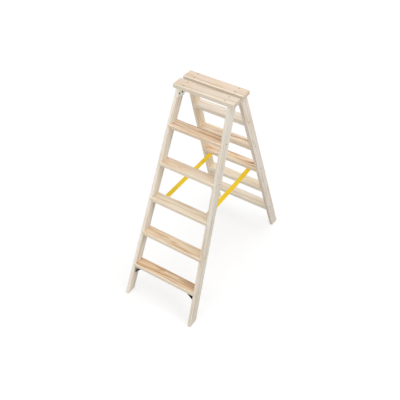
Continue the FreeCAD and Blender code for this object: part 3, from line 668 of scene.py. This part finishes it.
for sec, sy in SEC.items():
    bm_p = bmesh.new()
    for side, sx in SIDE.items():
        # pan-head screws that hold the strap and its plate under the tread
        for inset in (20.0, 40.0):
            at = (STRAP_X[side, sec], sy * (EDGE + inset), Z3 - TREAD_T - TH - 1.55 - 0.95)
            screw(bm_p, axes(at, (0, 0, -1)), 3.35, 0.70, PAN, 1.5, 15.0, dice.uniform(0, 3), 1.5, 0.34, 1.0)
    new_piece(sec + "_strap_screws_detail", bm_p, ZINC_SCREW, sec + "_section", [sec + "_strap_screws"])


def web_ring(y, xl, xr, rl, rr):
    """Cross-section of the band: x, z and the distance across, corners rounded by rl and rr."""
    h = TH / 2.0
    pts = []
    n = 10
    for k in range(n + 1):
        t = k / n
        pts.append((xl + rl + (xr - rr - xl - rl) * t, h))
    for a in (60, 30, 0, -30, -60):
        a = math.radians(a)
        pts.append((xr - rr + rr * math.cos(a), h * math.sin(a) if rr > 0.1 else h * math.sin(a) / math.sin(math.radians(60)) * 0.98))
    for k in range(n + 1):
        t = k / n
        pts.append((xr - rr + (xl + rl - xr + rr) * t, -h))
    for a in (-60, -30, 0, 30, 60):
        a = math.radians(a)
        pts.append((xl + rl - rl * math.cos(a), h * math.sin(a) if rl > 0.1 else h * math.sin(a) / math.sin(math.radians(60)) * 0.98))
    return [(x, y, z) for x, z in pts]


for side, sx in SIDE.items():
    xm = (STRAP_X[side, "front"] + STRAP_X[side, "back"]) / 2.0
    for sec, sy in SEC.items():
        x_end = STRAP_X[side, sec]

        def centre(d):
            """Middle of the band at a distance d from the middle plane, on this half's side."""
            if d >= EDGE:
                return x_end
            if d <= 91.0:
                return xm
            return xm + (x_end - xm) * (d - 91.0) / (EDGE - 91.0)

        ds = [EDGE + 52.0 - 4.0 * k for k in range(12)] + [EDGE + 4.0 - 0.75 * k for k in range(18)]
        d = ds[-1] - 4.0
        while d > 92.0:
            ds.append(d)
            d -= 4.5
        ds.append(90.5)
        full = [(d, centre(d) - W / 2.0, centre(d) + W / 2.0, 0.8, 0.8) for d in ds]
        # the tongue: the front half keeps the left of the band, the back half the right
        tongue = []
        d = 90.5
        while d > -90.5 - 1e-6:
            tongue.append((d, xm - W / 2.0, xm, 0.8, 0.02) if sy < 0 else (d, xm, xm + W / 2.0, 0.02, 0.8))
            d -= 4.525
        bm = bmesh.new()
        uvl = bm.loops.layers.uv.new("UVMap")
        loops = []
        for d, xl, xr, rl, rr in full + tongue:
            loops.append([bm.verts.new(Vector((x, y, ZW + z)) * MM) for x, y, z in web_ring(sy * d, xl, xr, rl, rr)])
        rings(bm, loops)
        bm.faces.new(loops[0])
        bm.faces.new(list(reversed(loops[-1])))
        bmesh.ops.recalc_face_normals(bm, faces=bm.faces)
        for f in bm.faces:
            for lp in f.loops:
                co = lp.vert.co
                d = co.y * 1000.0 * sy
                lp[uvl].uv = (co.y, co.x - centre(max(d, 91.0) if d > 0 else 91.0) * MM + 0.05)
        name = "strap_%s_%s_band" % (side, sec)
        me = bpy.data.meshes.new(name)
        bm.to_mesh(me)
        bm.free()
        o = bpy.data.objects.new(name, me)
        bpy.context.scene.collection.objects.link(o)
        paint(o, WEB)
        smooth(o, 50.0)
        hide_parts("strap_%s_%s" % (side, sec), sec + "_strap_ends")
        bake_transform(o)

# ------------------------------------------------------------------ floor and light
# a pale floor that sweeps up into a backdrop all the way round
bm = bmesh.new()
sweep = [(0.0, 0.0)] + [(r, 0.0) for r in (1000.0, 3000.0, 6000.0, 9000.0)]
sweep += [(9000.0 + 4000.0 * math.sin(math.radians(a)), 4000.0 * (1 - math.cos(math.radians(a)))) for a in range(10, 91, 10)]
sweep += [(13000.0, 9000.0), (12000.0, 12500.0), (8000.0, 14500.0), (0.0, 15500.0)]
lathe(bm, Matrix.Identity(4), sweep, 72)
me = bpy.data.meshes.new("studio_floor")
bm.to_mesh(me)
bm.free()
floor = bpy.data.objects.new("studio_floor", me)
bpy.context.scene.collection.objects.link(floor)
floor.location = (0, 0, -0.0006)
gf = Graph("studio_floor_paper")
gf.put(gf.bsdf.inputs["Base Color"], gf.ramp(gf.noise(gf.object_coords(), 3.0, 2.0),
                                             [(0.3, (0.40, 0.40, 0.40)), (0.7, (0.41, 0.41, 0.41))]))
gf.bsdf.inputs["Roughness"].default_value = 0.9
gf.bsdf.inputs["Specular IOR Level"].default_value = 0.0
gf.bsdf.inputs["Emission Color"].default_value = (1.0, 1.0, 1.0, 1.0)
# the far floor and backdrop are lit a little more than the middle
gf.put(gf.bsdf.inputs["Emission Strength"], gf.span(gf.vec("LENGTH", gf.object_coords()), 1.0, 5.0, 0.60, 0.70, smooth=True))
paint(floor, gf.mat)
# the pale floor doesn't light the underside of the ladder more than the room does
floor.visible_diffuse = False
floor.visible_shadow = False
smooth(floor, 60.0)

bpy.context.scene.view_settings.view_transform = "Standard"
world = bpy.data.worlds.new("studio")
bpy.context.scene.world = world
world.use_nodes = True
wt = world.node_tree
back = wt.nodes["Background"]
back.inputs[1].default_value = 1.0
# a little brighter from above than from below
sky = wt.nodes.new("ShaderNodeTexCoord")
sep = wt.nodes.new("ShaderNodeSeparateXYZ")
ramp = wt.nodes.new("ShaderNodeMapRange")
ramp.interpolation_type = "SMOOTHSTEP"
for k, v in enumerate((-0.6, 0.6, 0.42, 0.66), start=1):
    ramp.inputs[k].default_value = v
wt.links.new(sky.outputs["Generated"], sep.inputs[0])
wt.links.new(sep.outputs[2], ramp.inputs[0])
wt.links.new(ramp.outputs[0], back.inputs[0])


def area(name, loc, target, size, power, colour=(1, 1, 1)):
    data = bpy.data.lights.new(name, "AREA")
    data.shape = "DISK"
    data.size = size
    data.energy = power
    data.color = colour
    o = bpy.data.objects.new(name, data)
    bpy.context.scene.collection.objects.link(o)
    o.location = loc
    o.rotation_mode = "QUATERNION"
    o.rotation_quaternion = (Vector(target) - Vector(loc)).to_track_quat("-Z", "Y")
    return o


area("key_soft", (-0.9, -4.4, 4.8), (0, 0, 0.6), 3.8, 44, (1.0, 0.985, 0.955))
area("fill_front", (-0.2, -5.2, 1.5), (0, 0, 0.6), 3.0, 38, (1.0, 0.985, 0.955))
area("fill_right", (4.8, -0.6, 2.8), (0, 0, 0.6), 3.6, 84, (0.975, 1.0, 1.035))
area("top_soft", (0.2, 0.6, 5.4), (0, 0, 0.6), 4.2, 84)

cam_data = bpy.data.cameras.new("camera")
cam = bpy.data.objects.new("camera", cam_data)
bpy.context.scene.collection.objects.link(cam)
bpy.context.scene.camera = cam
right = Vector((0.8408248535153594, 0.5411050622190912, 0.014794504106177192))
up = Vector((-0.3708263099041382, 0.5558873370819662, 0.7439604266053406))
ahead = Vector((-0.3943366754357934, 0.6310266080862152, -0.6680598822661423))
cam.matrix_world = Matrix.Translation(Vector((1.5727886, -2.6129313, 3.2617734))) @ Matrix(
    (right, up, -ahead)).transposed().to_4x4()
cam_data.sensor_width = 36.0
cam_data.lens = 610.6957507684863 * 36.0 / 400.0
cam_data.clip_end = 100.0
